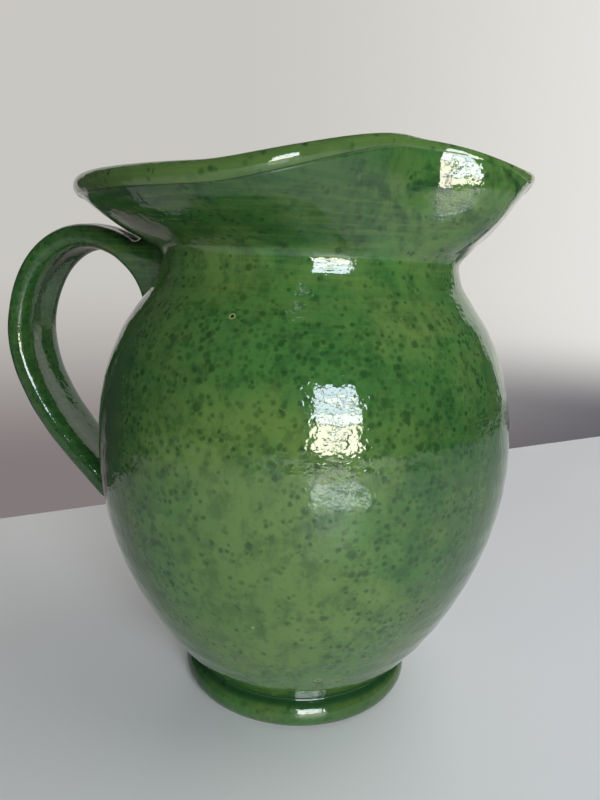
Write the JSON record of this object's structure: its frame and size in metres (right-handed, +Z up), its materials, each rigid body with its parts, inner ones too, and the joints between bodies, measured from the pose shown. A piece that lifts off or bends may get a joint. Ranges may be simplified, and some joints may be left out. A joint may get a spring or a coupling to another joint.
{
  "type": "ceramic pitcher",
  "caption": "Glazed earthenware pitcher with a round belly on a rolled foot, a narrow neck, a flared collar with a pinched spout and a pulled strap handle.",
  "frame": {"origin": "on the throwing axis, in the plane that the foot rests on", "axes": "+Z up the throwing axis, +X towards the spout, -X towards the handle"},
  "size_m": [0.2205, 0.1722, 0.2142],
  "materials": {
    "green_glaze": "gloss",
    "foot_clay": "matte"
  },
  "bodies": {
    "root": {"base_disc": "foot_clay", "foot_ring": "green_glaze", "belly": "green_glaze", "collar": "green_glaze", "spout": "green_glaze", "handle": "green_glaze", "upper_root": "green_glaze", "lower_root": "green_glaze"}
  },
  "joints": []
}
